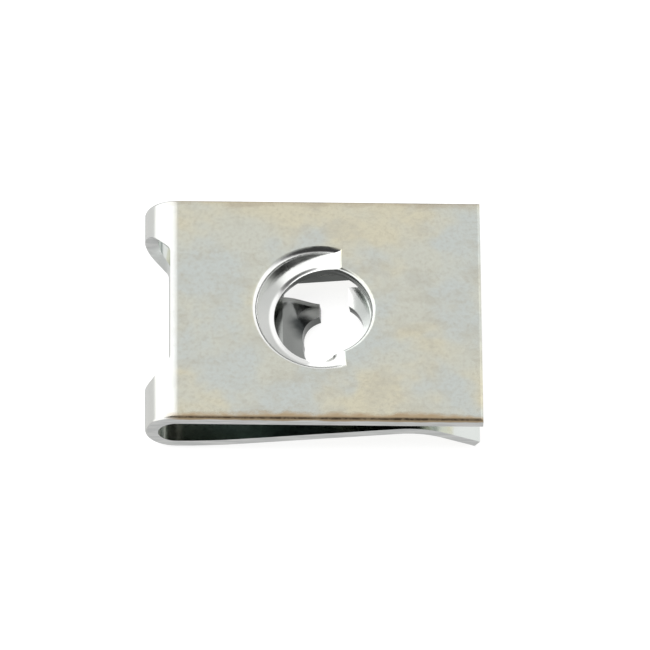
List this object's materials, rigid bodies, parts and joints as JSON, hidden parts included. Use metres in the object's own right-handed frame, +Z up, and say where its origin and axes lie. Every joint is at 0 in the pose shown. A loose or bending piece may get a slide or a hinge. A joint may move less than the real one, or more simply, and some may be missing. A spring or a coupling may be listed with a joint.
{
  "type": "u clip speed nut",
  "caption": "U-shaped spring steel clip nut: clearance hole with a half collar over a pronged thread impression, relieved fold and flared lead-in lip.",
  "frame": {"origin": "centre of the footprint, on the surface the clip lies on", "axes": "+X towards the open end and its lead-in lip, +Y across the clip, +Z up through the screw hole, nearly square to the upper leg"},
  "size_m": [0.018, 0.0132, 0.0036],
  "materials": {
    "spring_clip": "zinc-plated spring steel, satin, with a faint yellow and blue passivation tint"
  },
  "bodies": {
    "root": {"spring_clip": "spring_clip"}
  },
  "joints": []
}
